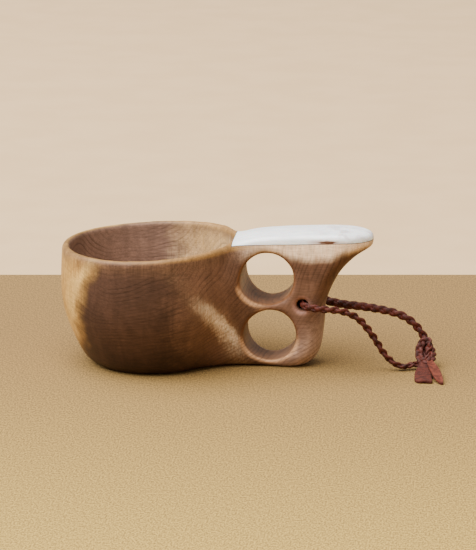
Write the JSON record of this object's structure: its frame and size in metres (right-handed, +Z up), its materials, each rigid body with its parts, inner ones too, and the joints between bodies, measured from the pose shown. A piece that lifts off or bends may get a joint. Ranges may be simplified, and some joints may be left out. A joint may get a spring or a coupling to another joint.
{
  "type": "carved wooden drinking cup",
  "caption": "Carved birch drinking cup with a round bowl, a thick finger-hole handle, an antler plate let into its thumb rest, and a braided leather lanyard.",
  "frame": {"origin": "centre of the cup's footprint, at the height of the surface it stands on; the lanyard isn't counted", "axes": "+X from the bowl along the handle to the thumb rest, +Y to the back, +Z up"},
  "size_m": [0.1764, 0.083, 0.0639],
  "materials": {
    "birch_wood": "oiled satin, dark heartwood with pale sapwood streaks",
    "antler": "polished satin, with a small brown crack and grey pores",
    "glue": "matt dark glue",
    "braided_leather": "waxed, reddish brown",
    "flat_leather": "matt, reddish brown"
  },
  "bodies": {
    "cup": {"cup_body": "birch_wood", "antler_inlay": "antler", "glue_line": "glue"},
    "lanyard": {"lanyard_front_leg": "braided_leather", "lanyard_back_leg": "braided_leather", "lanyard_knot": "braided_leather", "tail_left": "flat_leather", "tail_right": "flat_leather"}
  },
  "joints": [
    {"name": "lanyard_swing", "type": "hinge", "parent": "cup", "child": "lanyard", "pos_m": [0.04, 0, 0.0302], "axis": [0, -1, 0], "range_deg": [0, 25]}
  ]
}
